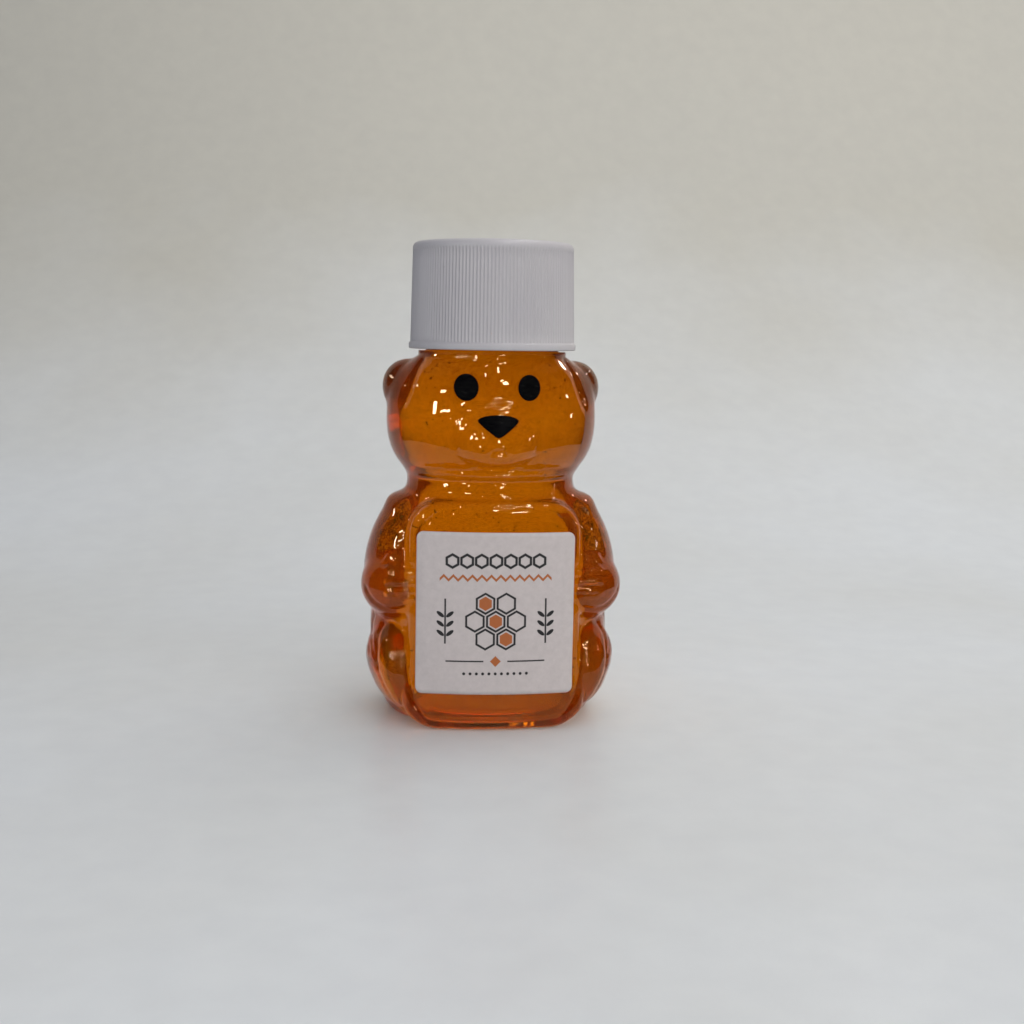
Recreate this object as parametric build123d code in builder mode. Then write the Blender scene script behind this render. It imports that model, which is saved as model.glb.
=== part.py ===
from build123d import *
import math
import os

# A small clear bear-shaped bottle of honey with a white ribbed screw cap.
# Millimetres, +Z up. The origin is the centre of the base, on the neck's axis,
# and the bear looks along -Y, so its right hand is on the -X side.

# Heights of the body, each counted from the one below it
trunk_height = 39.3
head_height = 20.0
collar_height = 0.75

# Half widths of the body, and how far it reaches in front of and behind the neck's axis
trunk_half_width = 19.95
head_half_width = 17.36
half_depth = 16.4

# Half widths of the oval that the bottle stands on and of the crease between trunk and head
base_half_width = 16.6
crease_half_width = 13.75

# Blown wall, and the push-up in the base
wall = 0.7
recess_rim = 2.6
recess_depth = 1.3
recess_slope = 1.4

# Neck, a tube with a collar at its foot
neck_diameter = 21.6
neck_wall = 1.5
collar_stand = 1.4
mouth_chamfer = 0.3

# Screw cap, open below, with fine upright ribs between a rounded rim and a smooth lip
cap_height = 17.15
cap_clearance = 0.3
thread_room = 1.4
cap_wall = 1.3
cap_plate = 1.4
cap_draft = 0.35
cap_lip_height = 1.1
cap_lip_stand = 0.25
cap_lip_chamfer = 0.25
cap_rim_height = 1.3
cap_rim_radius = 0.9
rim_steps = 4
rib_count = 144
rib_depth = 0.22
liner_thickness = 1.0
liner_clearance = 0.3

# Honey stands this far above the head, inside the neck
fill_above_head = 1.6

# Bib down the front that carries the label
bib_half_width = 13.8
bib_height = 36.7
bib_stand = 0.58
bib_depth = 9.0
bib_bow_radius = 56.0
bib_top_corner = 5.5
bib_foot_corner = 4.5
bib_edge_radius = 1.2

# Square paper label on the bib
label_width = 25.2
label_height = 25.9
label_foot = 6.03
label_corner = 1.1
label_thickness = 0.1

# Painted eyes and nose
paint_thickness = 0.1
eye_width = 3.9
eye_length = 4.1
eye_spacing = 9.8
nose_width = 7.1
nose_length = 3.6
nose_shoulder = 1.2
nose_corner = 0.45

# Half sizes (across, fore and aft, up) of the rounded lobes, and their lean from the vertical
muzzle_half_sizes = (6.6, 4.9, 4.9)
ear_half_sizes = (4.3, 3.4, 4.5)
arm_half_sizes = (6.45, 9.0, 11.7)
arm_lean = 15.0
forearm_half_sizes = (6.7, 8.4, 6.0)
forearm_lean = 0.0
leg_half_sizes = (6.5, 9.4, 7.6)
leg_lean = 20.0
finger_half_sizes = (2.4, 1.0, 0.74)

# One overrun serves every cut
overrun = 2.0

# How far the arms and legs stay behind the front of the body, so that the bib stands proud of them
arm_setback = 6.088
forearm_setback = 3.08
leg_setback = 3.392

# Places of the lobes on the head, as shares of half width, half depth and height
muzzle_place_shares = (0.0, -0.69, 0.355)
ear_place_shares = (0.785, 0.06, 0.735)

# Places of the limbs on the trunk, as shares of half width and height, and of the fingers with half depth between
arm_place_shares = (0.71, 0.68)
forearm_place_shares = (0.742, 0.565)
leg_place_shares = (0.706, 0.23)
finger_place_shares = [
    (0.765, -0.598, 0.694),
    (0.770, -0.682, 0.652),
    (0.770, -0.762, 0.606),
    (0.765, -0.785, 0.557),
]

# Height of the eyes on the head, and of the top of the nose, as shares of the head's height
eye_height_share = 0.765
nose_top_share = 0.57

# Front and back of the base and of the crease, as shares of the half depth
base_front_share = 0.793
base_back_share = 0.817
crease_front_share = 0.713
crease_back_share = 0.738

# Trunk sections between base and crease: height, half width, front and back as shares
trunk_shares = [
    (0.030, 0.874, 0.840, 0.865),
    (0.127, 0.950, 0.905, 0.950),
    (0.254, 0.995, 0.925, 0.988),
    (0.407, 1.000, 0.915, 1.000),
    (0.585, 0.960, 0.885, 0.976),
    (0.763, 0.869, 0.830, 0.915),
    (0.891, 0.773, 0.770, 0.835),
    (0.967, 0.712, 0.726, 0.762),
]

# Head sections between crease and neck, in the same order
head_shares = [
    (0.070, 0.835, 0.744, 0.765),
    (0.185, 0.927, 0.800, 0.830),
    (0.335, 0.987, 0.848, 0.890),
    (0.485, 1.000, 0.860, 0.909),
    (0.660, 0.973, 0.835, 0.884),
    (0.810, 0.899, 0.800, 0.825),
]

# Trunk sections where the bib's front is level with the belly and where it leans back to, and how much of
# the belly's slope between them it follows
bib_foot_section = 2
bib_head_section = 4
bib_lean_share = 0.9004626

# Section between the last of these and the collar: height, then how far it stands out from one towards the other
shoulder_height_share = 0.935
shoulder_stand_shares = (0.3935843, 0.1978261, 0.2601504)

# Levels worked out from the sizes
head_top = trunk_height + head_height
collar_top = head_top + collar_height
cap_foot = collar_top + cap_clearance
cap_top = cap_foot + cap_height
liner_top = cap_top - cap_plate
mouth_level = liner_top - liner_thickness
fill_level = head_top + fill_above_head

# Radii and depths worked out from the sizes
neck_radius = neck_diameter / 2
collar_radius = neck_radius + collar_stand
bore_radius = neck_radius - neck_wall
cap_bore_radius = neck_radius + thread_room
cap_foot_radius = cap_bore_radius + cap_wall
cap_top_radius = cap_foot_radius - cap_draft
cap_lip_radius = cap_foot_radius + cap_lip_stand
rib_foot = cap_foot + cap_lip_height
rib_top = cap_top - cap_rim_height
bib_front = half_depth * trunk_shares[bib_foot_section][2] + bib_stand
belly_fall = half_depth * (trunk_shares[bib_foot_section][2] - trunk_shares[bib_head_section][2])
belly_rise = trunk_height * (trunk_shares[bib_head_section][0] - trunk_shares[bib_foot_section][0])
bib_lean = math.atan(bib_lean_share * belly_fall / belly_rise)
base_oval = (base_half_width, half_depth * base_front_share, half_depth * base_back_share)
crease_oval = (crease_half_width, half_depth * crease_front_share, half_depth * crease_back_share)


def stack(sections, inset, ruled=False):
    """Loft through ovals given by level, half width, front and back, drawn in by the inset."""
    with BuildPart() as body:
        for level, half_width, front, back in sections:
            with BuildSketch(Plane.XY.offset(level)):
                with Locations((0, (back - front) / 2)):
                    Ellipse(half_width - inset, (back + front) / 2 - inset)
        loft(ruled=ruled)
    return body.part


def trunk(inset):
    """Pear-shaped trunk from the base to the crease."""
    foot = max(inset, 0)
    sections = [(foot, *base_oval)]
    for height_share, width_share, front_share, back_share in trunk_shares:
        level = foot + (trunk_height - foot) * height_share
        sections.append((level, trunk_half_width * width_share, half_depth * front_share, half_depth * back_share))
    sections.append((trunk_height, *crease_oval))
    return stack(sections, inset)


def head(inset):
    """Round head from the crease up to the collar of the neck."""
    sections = [(trunk_height, *crease_oval)]
    for height_share, width_share, front_share, back_share in head_shares:
        level = trunk_height + head_height * height_share
        sections.append((level, head_half_width * width_share, half_depth * front_share, half_depth * back_share))
    reaches = [collar_radius + (reach - collar_radius) * stand_share
               for reach, stand_share in zip(sections[-1][1:], shoulder_stand_shares)]
    sections.append((trunk_height + head_height * shoulder_height_share, *reaches))
    sections.append((head_top, collar_radius, collar_radius, collar_radius))
    return stack(sections, inset)


def lobe(half_sizes, centre, lean, inset):
    """Egg-shaped lump: a unit ball scaled to its half sizes, leaned outwards at the top."""
    with BuildPart() as lump:
        Sphere(1)
        scale(by=tuple(half_size - inset for half_size in half_sizes))
    return Location(centre, (0, lean, 0)) * lump.part


def head_lobe(half_sizes, place_shares, side, inset):
    """Lobe placed on the head, on the side given as 1, -1 or 0 for the middle."""
    x_share, y_share, z_share = place_shares
    centre = (side * head_half_width * x_share, half_depth * y_share, trunk_height + head_height * z_share)
    return lobe(half_sizes, centre, 0, inset)


def limb(half_sizes, place_shares, setback, lean, side, inset):
    """Lobe on the side of the trunk, its front set back from the body's, leaned out towards its own side."""
    x_share, z_share = place_shares
    front = half_depth - setback
    centre = (side * trunk_half_width * x_share, half_sizes[1] - front, trunk_height * z_share)
    return lobe(half_sizes, centre, side * lean, inset)


def finger(place_shares, side):
    """Small ridge across the forearm."""
    x_share, y_share, z_share = place_shares
    centre = (side * trunk_half_width * x_share, half_depth * y_share, trunk_height * z_share)
    return lobe(finger_half_sizes, centre, 0, 0)


def bow_plane():
    """Plane across the axis of the bib's bowed front, leaning back at the top with the belly."""
    return Plane(origin=(0, bib_bow_radius - bib_front, 0), z_dir=(0, math.sin(bib_lean), math.cos(bib_lean)))


def bib(inset):
    """Raised bib with round corners, bowed across and leaning back, its edge rounded outside."""
    with BuildPart() as platform:
        with BuildSketch(Plane.XZ.offset(bib_front - bib_depth)) as outline:
            with Locations((0, (bib_height + inset) / 2)):
                Rectangle(2 * (bib_half_width - inset), bib_height - max(inset, 0) - inset)
            fillet(outline.vertices().group_by(Axis.Y)[-1], bib_top_corner - inset)
            fillet(outline.vertices().group_by(Axis.Y)[0], bib_foot_corner - inset)
        extrude(amount=bib_depth + overrun)
        with BuildSketch(bow_plane().offset(-bib_height)):
            Circle(bib_bow_radius - inset)
        extrude(amount=3 * bib_height, mode=Mode.INTERSECT)
        if inset <= 0:
            fillet(platform.faces().sort_by(Axis.Y)[0].edges(), bib_edge_radius)
    return platform.part


def bear(inset):
    """The whole bear up to the neck, drawn in all round by the inset."""
    with BuildPart() as form:
        add(trunk(inset))
        add(head(inset))
        add(head_lobe(muzzle_half_sizes, muzzle_place_shares, 0, inset))
        add(bib(inset))
        for side in (-1, 1):
            add(head_lobe(ear_half_sizes, ear_place_shares, side, inset))
            add(limb(arm_half_sizes, arm_place_shares, arm_setback, -arm_lean, side, inset))
            add(limb(forearm_half_sizes, forearm_place_shares, forearm_setback, forearm_lean, side, inset))
            add(limb(leg_half_sizes, leg_place_shares, leg_setback, leg_lean, side, inset))
            if inset <= 0:
                for place_shares in finger_place_shares:
                    add(finger(place_shares, side))
        split(bisect_by=Plane.XY.offset(max(inset, 0)), keep=Keep.TOP)
    return form.part


def push_up(grow):
    """Shallow oval dish pressed up into the base, grown by the wall for the inside."""
    sections = []
    for level, draw_in in ((0, recess_rim), (recess_depth + grow, recess_rim + recess_slope)):
        sections.append((level, *(reach - draw_in for reach in base_oval)))
    return stack(sections, -grow, ruled=True)


def rib_ring(tip_radius):
    """Corners of the ribbed skirt at one level, tip and root by turns."""
    points = []
    for index in range(rib_count):
        for turn_share, radius in ((0.0, tip_radius), (0.5, tip_radius - rib_depth)):
            angle = math.tau * (index + turn_share) / rib_count
            points.append((radius * math.cos(angle), radius * math.sin(angle)))
    return points


def rim_profile():
    """Half section of the cap above its ribs, with the rounded rim in a few short steps."""
    points = [(0, rib_top), (cap_top_radius, rib_top)]
    for step in range(rim_steps + 1):
        angle = math.pi / 2 * step / rim_steps
        across = cap_top_radius - cap_rim_radius * (1 - math.cos(angle))
        points.append((across, cap_top - cap_rim_radius * (1 - math.sin(angle))))
    points.append((0, cap_top))
    return points


outer_form = bear(0)
inner_form = bear(wall)
dish = push_up(0)
dish_inside = push_up(wall)

# Bottle: hollow bear with its base pressed up, a collar and an open neck
with BuildPart() as bottle:
    add(outer_form)
    with BuildSketch(Plane.XY.offset(head_top)):
        Circle(collar_radius)
    extrude(amount=collar_height)
    with BuildSketch(Plane.XY.offset(head_top)):
        Circle(neck_radius)
    extrude(amount=mouth_level - head_top)
    chamfer(bottle.faces().sort_by(Axis.Z)[-1].edges(), mouth_chamfer)
    add(dish, mode=Mode.SUBTRACT)
    add(inner_form - dish_inside, mode=Mode.SUBTRACT)
    with BuildSketch(Plane.XY.offset(head_top - wall)):
        Circle(bore_radius)
    extrude(amount=mouth_level - head_top + wall + overrun, mode=Mode.SUBTRACT)

# Honey: fills the inside up to its level in the neck
with BuildPart() as honey:
    add(inner_form)
    add(dish_inside, mode=Mode.SUBTRACT)
    with BuildSketch(Plane.XY.offset(head_top)):
        Circle(bore_radius)
    extrude(amount=fill_level - head_top)

# Label: square sheet wrapped on the bowed front of the bib
with BuildPart() as front_label:
    with BuildSketch(bow_plane().offset(-bib_height)):
        Circle(bib_bow_radius + label_thickness)
        Circle(bib_bow_radius, mode=Mode.SUBTRACT)
    extrude(amount=3 * bib_height)
    with BuildSketch(Plane.XZ.offset(bib_front - bib_depth)):
        with Locations((0, label_foot + label_height / 2)):
            RectangleRounded(label_width, label_height, label_corner)
    extrude(amount=bib_depth + overrun, mode=Mode.INTERSECT)

# Eyes: ovals of paint on the head
eye_pieces = {}
eye_level = trunk_height + head_height * eye_height_share
painted_head = head(-paint_thickness)
for eye_name, side in (("eye_left", 1), ("eye_right", -1)):
    with BuildPart() as eye:
        with BuildSketch(Plane.XZ):
            with Locations((side * eye_spacing / 2, eye_level)):
                Ellipse(eye_width / 2, eye_length / 2)
        extrude(amount=half_depth + overrun)
        add(painted_head, mode=Mode.INTERSECT)
        add(outer_form, mode=Mode.SUBTRACT)
    eye.part.label = eye_name
    eye_pieces[eye_name] = eye.part

# Nose: shield of paint on the muzzle, arched on top and pointed below
nose_top = trunk_height + head_height * nose_top_share
painted_muzzle = head_lobe(muzzle_half_sizes, muzzle_place_shares, 0, -paint_thickness)
with BuildPart() as nose:
    with BuildSketch(Plane.XZ) as shield:
        with BuildLine():
            shoulder_level = nose_top - nose_shoulder
            ThreePointArc((-nose_width / 2, shoulder_level), (0, nose_top), (nose_width / 2, shoulder_level))
            Line((nose_width / 2, shoulder_level), (0, nose_top - nose_length))
            Line((0, nose_top - nose_length), (-nose_width / 2, shoulder_level))
        make_face()
        fillet(shield.vertices(), nose_corner)
    extrude(amount=half_depth + overrun)
    add(painted_muzzle, mode=Mode.INTERSECT)
    add(outer_form, mode=Mode.SUBTRACT)

# Cap: ribbed skirt that widens downwards, with a rounded rim above and a lip below
with BuildPart() as cap:
    for level, radius in ((rib_foot, cap_foot_radius), (rib_top, cap_top_radius)):
        with BuildSketch(Plane.XY.offset(level)):
            with BuildLine():
                Polyline(*rib_ring(radius), close=True)
            make_face()
    loft(ruled=True)
    with BuildSketch(Plane.XZ):
        with BuildLine():
            Polyline(*rim_profile(), close=True)
        make_face()
    revolve(axis=Axis.Z)
    with BuildSketch(Plane.XY.offset(cap_foot)):
        Circle(cap_lip_radius)
    extrude(amount=cap_lip_height)
    chamfer(cap.faces().sort_by(Axis.Z)[0].edges(), cap_lip_chamfer)
    with BuildSketch(Plane.XY.offset(cap_foot - overrun)):
        Circle(cap_bore_radius)
    extrude(amount=liner_top - cap_foot + overrun, mode=Mode.SUBTRACT)

# Liner: soft disc between the cap's plate and the mouth
with BuildPart() as cap_liner:
    with BuildSketch(Plane.XY.offset(mouth_level)):
        Circle(cap_bore_radius - liner_clearance)
    extrude(amount=liner_thickness)

os.makedirs("parts", exist_ok=True)
bottle.part.label = "bottle"
export_step(bottle.part, "parts/bottle.step")
honey.part.label = "honey"
export_step(honey.part, "parts/honey.step")
front_label.part.label = "front_label"
export_step(front_label.part, "parts/front_label.step")
for eye_name, piece in eye_pieces.items():
    export_step(piece, f"parts/{eye_name}.step")
nose.part.label = "nose"
export_step(nose.part, "parts/nose.step")
cap.part.label = "cap"
export_step(cap.part, "parts/cap.step")
cap_liner.part.label = "cap_liner"
export_step(cap_liner.part, "parts/cap_liner.step")
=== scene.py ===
import bmesh
import bpy
import math
import random
from functools import reduce
from mathutils import Matrix, Vector, noise
from mathutils.bvhtree import BVHTree
from mathutils.kdtree import KDTree


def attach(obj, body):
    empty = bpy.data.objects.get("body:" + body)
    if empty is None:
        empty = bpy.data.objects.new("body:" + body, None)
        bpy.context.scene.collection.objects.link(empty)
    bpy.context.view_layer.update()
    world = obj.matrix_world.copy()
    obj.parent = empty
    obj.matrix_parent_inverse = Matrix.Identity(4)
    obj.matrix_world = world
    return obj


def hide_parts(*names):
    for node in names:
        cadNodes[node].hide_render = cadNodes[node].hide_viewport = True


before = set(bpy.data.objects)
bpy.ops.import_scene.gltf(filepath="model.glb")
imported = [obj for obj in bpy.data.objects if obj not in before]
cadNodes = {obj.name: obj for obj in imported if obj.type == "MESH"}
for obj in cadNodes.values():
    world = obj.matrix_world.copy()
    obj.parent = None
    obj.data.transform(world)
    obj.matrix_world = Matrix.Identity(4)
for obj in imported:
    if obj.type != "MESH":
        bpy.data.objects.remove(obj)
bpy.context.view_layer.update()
scene = bpy.context.scene
mm = 0.001

# camera

shot = {
    "lens": 45.07,          # mm, on a 36 mm wide sensor
    "distance": 213.55,     # mm from the neck's axis, level
    "azimuth": -4.5,        # degrees round from straight in front
    "height": 63.56,        # mm above the base
    "pitch": 8.08,          # degrees down
    "heading": 5.5,
    "roll": 0.95,
}


def addCamera():
    camera = bpy.data.objects.new("camera", bpy.data.cameras.new("camera"))
    camera.data.lens = shot["lens"]
    camera.data.sensor_width = 36
    camera.data.clip_start = 0.005
    side = math.radians(shot["azimuth"])
    camera.location = (math.sin(side) * shot["distance"] * mm, -math.cos(side) * shot["distance"] * mm,
                       shot["height"] * mm)
    turn = Matrix.Rotation(-math.radians(shot["heading"]), 4, "Z")
    tip = Matrix.Rotation(math.radians(90 - shot["pitch"]), 4, "X")
    roll = Matrix.Rotation(math.radians(shot["roll"]), 4, "Z")
    camera.rotation_euler = (turn @ tip @ roll).to_euler()
    scene.collection.objects.link(camera)
    scene.camera = camera


addCamera()
print("camera ready")

# small helpers


def material(name, **values):  # a principled material, its sockets set by name
    made = bpy.data.materials.new(name)
    made.use_nodes = True
    shader = made.node_tree.nodes["Principled BSDF"]
    for socket, value in values.items():
        shader.inputs[socket.replace("_", " ")].default_value = value
    return made, made.node_tree, shader


def addNode(tree, kind, inputs=None, **settings):
    node = tree.nodes.new(kind)
    for key, value in settings.items():
        setattr(node, key, value)
    for key, value in (inputs or {}).items():
        if isinstance(value, bpy.types.NodeSocket):
            tree.links.new(value, node.inputs[key])
        else:
            node.inputs[key].default_value = value
    return node


def mathNode(tree, operation, first, second=0.0, third=0.0):
    node = addNode(tree, "ShaderNodeMath", {0: first, 1: second, 2: third}, operation=operation)
    return node.outputs[0]


def ramp(tree, factor, stops):  # colour ramp from a list of place and colour
    node = addNode(tree, "ShaderNodeValToRGB", {"Fac": factor})
    elements = node.color_ramp.elements
    while len(elements) < len(stops):
        elements.new(0.5)
    for element, (place, colour) in zip(elements, stops):
        element.position = place
        element.color = (*colour, 1)
    return node.outputs["Color"]


def newObject(name, bm, *materials):
    mesh = bpy.data.meshes.new(name)
    bm.to_mesh(mesh)
    bm.free()
    for each in materials:
        mesh.materials.append(each)
    made = bpy.data.objects.new(name, mesh)
    scene.collection.objects.link(made)
    return made


def finishPiece(name, bm, body, materials, replaced=()):
    piece = newObject(name, bm, *materials)
    piece.data.shade_smooth()
    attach(piece, body)
    if replaced:
        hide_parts(*replaced)
    print(name, len(piece.data.polygons), "faces")


def between(low, high, share):
    return low + (high - low) * share


def openEdges(bm):
    return [edge for edge in bm.edges if edge.is_boundary]


def linkedVerts(start):  # all that hangs together with some vertices
    found, queue = set(start), list(start)
    while queue:
        for edge in queue.pop().link_edges:
            for vert in edge.verts:
                if vert not in found:
                    found.add(vert)
                    queue.append(vert)
    return found


def growRing(bm, edges, radius, height):  # carries an open edge on to a level ring
    grown = bmesh.ops.extrude_edge_only(bm, edges=edges)["geom"]
    for vert in [item for item in grown if isinstance(item, bmesh.types.BMVert)]:
        angle = math.atan2(vert.co.y, vert.co.x)
        reach = radius(angle) if callable(radius) else radius  # it may depend on the angle
        vert.co = Vector((reach * math.cos(angle), reach * math.sin(angle), height)) * mm
    return [item for item in grown if isinstance(item, bmesh.types.BMEdge)]


def turnAll(bm, degrees, axis):
    turn = Matrix.Rotation(math.radians(degrees), 3, axis)
    bmesh.ops.rotate(bm, verts=bm.verts, cent=(0, 0, 0), matrix=turn)


def cutAbove(bm, level):
    everything = bm.verts[:] + bm.edges[:] + bm.faces[:]
    bmesh.ops.bisect_plane(bm, geom=everything, dist=0.02 * mm, plane_co=(0, 0, level * mm),
                           plane_no=(0, 0, 1), clear_outer=True)


# bottle skin

skin = {
    "voxel": 0.46, "insideVoxel": 0.72,
    "rounds": 5, "insideRounds": 14, "faceRounds": 12,      # of smoothing
    "smoothTop": 58.9, "headCut": 59.0, "insideCut": 58.6, "fillLevel": 61.0,
    "faceFoot": 42.6, "faceTop": 53.5, "faceHalf": 9, "faceBack": -7,
    "neckRadius": 10.8, "boreRadius": 9.3, "mouth": 75.1, "ringStep": 0.28,
    "collarRadius": 12.2, "collarFoot": 59.3, "collarTop": 60.05, "collarEdge": 0.12,
    "insideRings": [(11.3, 59.0), (11.0, 59.5), (10.85, 60.0), (10.4, 60.35), (9.6, 60.6)],
}

thread = {
    "pitch": 3.175, "height": 0.92, "width": 1.25, "foot": 63.4, "turns": 2.3, "fade": 0.09,
    "crest": 1.9, "slope": 1.6,     # its section: crest less slope times the way out, cut flat at 1
}


def halfShell(wantOuter):  # outside or inside of the hollow CAD bottle, closed over at its mouth
    bm = bmesh.new()
    bm.from_mesh(cadNodes["bottle"].data)
    bmesh.ops.remove_doubles(bm, verts=bm.verts, dist=0.002 * mm)
    top = max(vert.co.z for vert in bm.verts)
    rim = [face for face in bm.faces if all(vert.co.z > top - 0.01 * mm for vert in face.verts)]
    bmesh.ops.delete(bm, geom=rim, context="FACES")
    bmesh.ops.holes_fill(bm, edges=openEdges(bm), sides=0)
    outer = linkedVerts([max(bm.verts, key=lambda vert: vert.co.x)])
    spare = [vert for vert in bm.verts if (vert in outer) != wantOuter]
    bmesh.ops.delete(bm, geom=spare, context="VERTS")
    bmesh.ops.recalc_face_normals(bm, faces=bm.faces)
    return bm


def remeshed(bm, voxel):
    rough = newObject("rough", bm)
    modifier = rough.modifiers.new("remesh", "REMESH")
    modifier.mode = "VOXEL"
    modifier.voxel_size = voxel * mm
    evaluated = rough.evaluated_get(bpy.context.evaluated_depsgraph_get())
    done = bpy.data.meshes.new_from_object(evaluated)
    bpy.data.objects.remove(rough)
    fresh = bmesh.new()
    fresh.from_mesh(done)
    bpy.data.meshes.remove(done)
    return fresh


def soften(bm, verts, rounds):
    for _ in range(rounds):
        bmesh.ops.smooth_vert(bm, verts=verts, factor=0.5,
                              use_axis_x=True, use_axis_y=True, use_axis_z=True)


def threadReach(angle, height):  # how far the neck's thread stands out, from 0 to 1
    turn = angle / math.tau % 1
    along = (height - thread["foot"]) / thread["pitch"] - turn
    nearest = round(along)
    run = nearest + turn
    if run < 0 or run > thread["turns"]:
        return 0
    off = abs(along - nearest) * thread["pitch"] / (thread["width"] / 2)
    ends = min(1, run / thread["fade"], (thread["turns"] - run) / thread["fade"])
    return max(0, min(1, thread["crest"] - thread["slope"] * off)) * max(0, ends)


puffs = [  # place, reach across, fore and aft and up, and how far the skin is pushed out, in mm
    ((0, -14.0, 44.2), (13.0, 7.0, 1.7), 0.4),
    ((0, -15.0, 43.2), (5.0, 5.0, 1.5), 0.5),
    ((0, -12.5, 41.5), (13.5, 6.0, 0.65), -0.5),
    ((0, -12.0, 40.5), (14.0, 6.0, 0.5), 0.3),
    ((0, -12.0, 39.6), (14.0, 6.0, 0.8), -0.35),
]
pairedPuffs = [  # the same, set on both sides
    ((15.2, 1.0, 55.0), (3.2, 4.5, 4.0), 0.4),
    ((14.6, -2.0, 54.6), (2.6, 2.2, 3.4), 0.5),
    ((16.8, -1.5, 35.8), (2.6, 6.0, 1.4), 0.5),
    ((15.2, -2.0, 37.7), (2.6, 6.0, 0.9), -0.3),
    ((16.4, -11.0, 12.6), (2.4, 6.0, 3.0), 0.5),
    ((16.0, -11.0, 8.3), (2.2, 6.0, 2.8), 0.9),
    ((14.6, -10.5, 5.2), (2.3, 6.0, 2.4), 1.1),
    ((12.8, -10.5, 2.9), (2.4, 6.0, 1.6), 0.6),
    ((12.6, -12.0, 11.0), (1.0, 5.0, 5.0), -0.3),
    ((19.6, -6.0, 7.2), (1.6, 6.0, 3.0), -0.3),
]
puffEdge = 6    # reaches squared, beyond which a push has faded away


def swell(bm):
    bm.normal_update()
    mirrored = [((-x, y, z), reach, amount) for (x, y, z), reach, amount in pairedPuffs]
    for centre, reach, amount in puffs + pairedPuffs + mirrored:
        for vert in bm.verts:
            off = [(vert.co[axis] / mm - centre[axis]) / reach[axis] for axis in range(3)]
            gap = sum(value * value for value in off)
            if gap < puffEdge:
                vert.co += vert.normal * amount * mm * math.exp(-gap)
    bm.normal_update()


outerSkin = remeshed(halfShell(True), skin["voxel"])
below = [vert for vert in outerSkin.verts if vert.co.z < skin["smoothTop"] * mm]
soften(outerSkin, below, skin["rounds"])
faceVerts = [vert for vert in outerSkin.verts
             if skin["faceFoot"] * mm < vert.co.z < skin["faceTop"] * mm
             and abs(vert.co.x) < skin["faceHalf"] * mm and vert.co.y < skin["faceBack"] * mm]
soften(outerSkin, faceVerts, skin["faceRounds"])
swell(outerSkin)
print("outer skin", len(outerSkin.faces), "faces")

innerSkin = remeshed(halfShell(False), skin["insideVoxel"])
below = [vert for vert in innerSkin.verts if vert.co.z < skin["smoothTop"] * mm]
soften(innerSkin, below, skin["insideRounds"])
print("inner skin", len(innerSkin.faces), "faces")

# moulded details on the skin

details = {  # in mm: lines as x and z, mirrored but for the mouth; each finger's level, each toe's reach
    "mouth": [(-1.3, 44.1), (-0.9, 44.6), (0.0, 44.85), (0.9, 44.6), (1.3, 44.1)],
    "mouthWidth": 0.45, "mouthDepth": 0.22,
    "fingers": [26.0, 24.4, 23.0, 21.8], "fingerReach": (13.0, 16.4), "fingerRise": 0.25,
    "fingerWidth": 0.38, "fingerDepth": 0.45,
    "toes": [19.3, 20.0, 20.6], "toeReach": (11.0, 16.4), "toeBulge": 0.4,
    "toeWidth": 0.3, "toeDepth": 0.3,
    "shin": [(-18.8, 9.5), (-18.9, 12.2), (-18.6, 14.4), (-17.9, 15.8), (-16.7, 16.4), (-15.3, 16.0),
             (-14.3, 14.9), (-13.9, 13.2), (-13.9, 9.4), (-13.6, 6.7), (-12.6, 4.6), (-11.2, 2.8)],
    "shinWidth": 0.5, "shinDepth": 0.42,
    "sole": [(-18.8, 9.5), (-18.0, 7.6), (-17.0, 5.6), (-15.9, 3.6), (-14.4, 1.9)],
    "soleWidth": 0.4, "soleDepth": 0.2,
    "hem": [(-12.4, 19.0), (-12.4, 24.0), (-12.35, 28.5), (-12.1, 31.2), (-11.1, 33.3), (-9.3, 34.8),
            (-7.0, 35.25)],
    "hemWidth": 0.3, "hemDepth": 0.2,
    "palm": [(-20.6, 21.9), (-19.6, 20.4), (-18.0, 19.3), (-16.0, 18.9), (-14.2, 19.3), (-12.9, 20.4)],
    "palmWidth": 0.45, "palmDepth": 0.35,
    "muzzle": [(-6.3, 44.6), (-6.9, 46.4), (-6.9, 48.4), (-6.2, 50.0), (-4.6, 51.2), (-2.4, 51.8),
               (0.0, 52.0)],
    "muzzleWidth": 0.5, "muzzleDepth": 0.22,
    "chin": [(-6.4, 43.6), (-5.2, 42.8), (-3.6, 42.1), (-1.8, 41.7), (0.0, 41.6)],
    "chinWidth": 0.45, "chinDepth": 0.35,
    "ear": [(-11.9, 58.4), (-12.6, 57.0), (-13.3, 55.2), (-13.9, 53.4), (-14.6, 51.9)],
    "earWidth": 0.8, "earDepth": 0.45,
}


def skinTree(bm):
    bm.normal_update()
    return BVHTree.FromBMesh(bm)


def frontPoint(tree, x, z):  # the point of the skin met by looking along +Y
    return tree.ray_cast(Vector((x, -40, z)) * mm, Vector((0, 1, 0)))[0]


def groove(bm, points, width, depth):  # presses a soft channel along a line of points of the skin
    spacing = 0.2 * mm
    kd = KDTree(len(bm.verts))
    bm.verts.ensure_lookup_table()
    for index, vert in enumerate(bm.verts):
        kd.insert(vert.co, index)
    kd.balance()
    nearby = {}
    for start, end in zip(points, points[1:]):
        steps = max(2, int((end - start).length / spacing))
        for step in range(steps + 1):
            spot = start.lerp(end, step / steps)
            for _, index, gap in kd.find_range(spot, width * 2 * mm):
                nearby[index] = min(gap, nearby.get(index, gap))
    for index, gap in nearby.items():
        vert = bm.verts[index]
        fall = math.exp(-(gap / (width * mm)) ** 2)
        vert.co -= vert.normal * depth * mm * fall
    bm.normal_update()


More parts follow.
